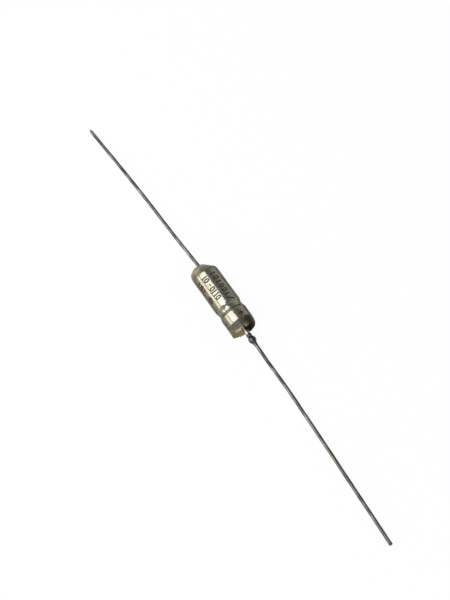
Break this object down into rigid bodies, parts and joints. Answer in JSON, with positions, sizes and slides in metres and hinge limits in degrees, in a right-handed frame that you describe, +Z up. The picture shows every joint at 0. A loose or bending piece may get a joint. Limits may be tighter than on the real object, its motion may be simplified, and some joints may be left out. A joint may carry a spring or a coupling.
{
  "type": "tantalum capacitor",
  "caption": "Axial wet tantalum capacitor: grooved silver can in a clear shrunk film sleeve, glass seal, weld bead and stiff wire leads.",
  "frame": {"origin": "on the table the part lies on, under the middle of its length from lead tip to lead tip", "axes": "+X along the can towards the positive lead, +Z up off the table; the can's axis is 2.54 mm above the origin and parallel to X"},
  "size_m": [0.0954, 0.005, 0.0051],
  "materials": {
    "silver_can": "satin drawn silver with a warm tarnish",
    "clear_film": "clear glossy shrunk polyester film",
    "tinned_wire": "dull solder-tinned nickel wire",
    "weld_metal": "smooth dark heat-blackened weld bead",
    "tantalum": "plain drawn tantalum",
    "seal_glass": "dark fused sealing glass",
    "ring_metal": "oxidised seal ring",
    "solder": "bright solder fillet",
    "marking_ink": "black marking ink",
    "gasket_rubber": "black moulded rubber",
    "white_plastic": "white turned fluoroplastic",
    "acid_gel": "clear gelled acid",
    "sintered_tantalum": "porous sintered metal"
  },
  "bodies": {
    "root": {"case": "silver_can", "insulating_sleeve": "clear_film", "negative_lead": "tinned_wire", "positive_lead": "tinned_wire", "weld_bead": "weld_metal", "seal_tube": "tantalum", "seal_glass": "seal_glass", "seal_ring": "ring_metal", "closing_solder": "solder", "gasket": "gasket_rubber", "bushing": "white_plastic", "electrolyte": "acid_gel", "anode_slug": "sintered_tantalum", "anode_riser": "tantalum", "vibration_spacer": "white_plastic"}
  },
  "joints": []
}
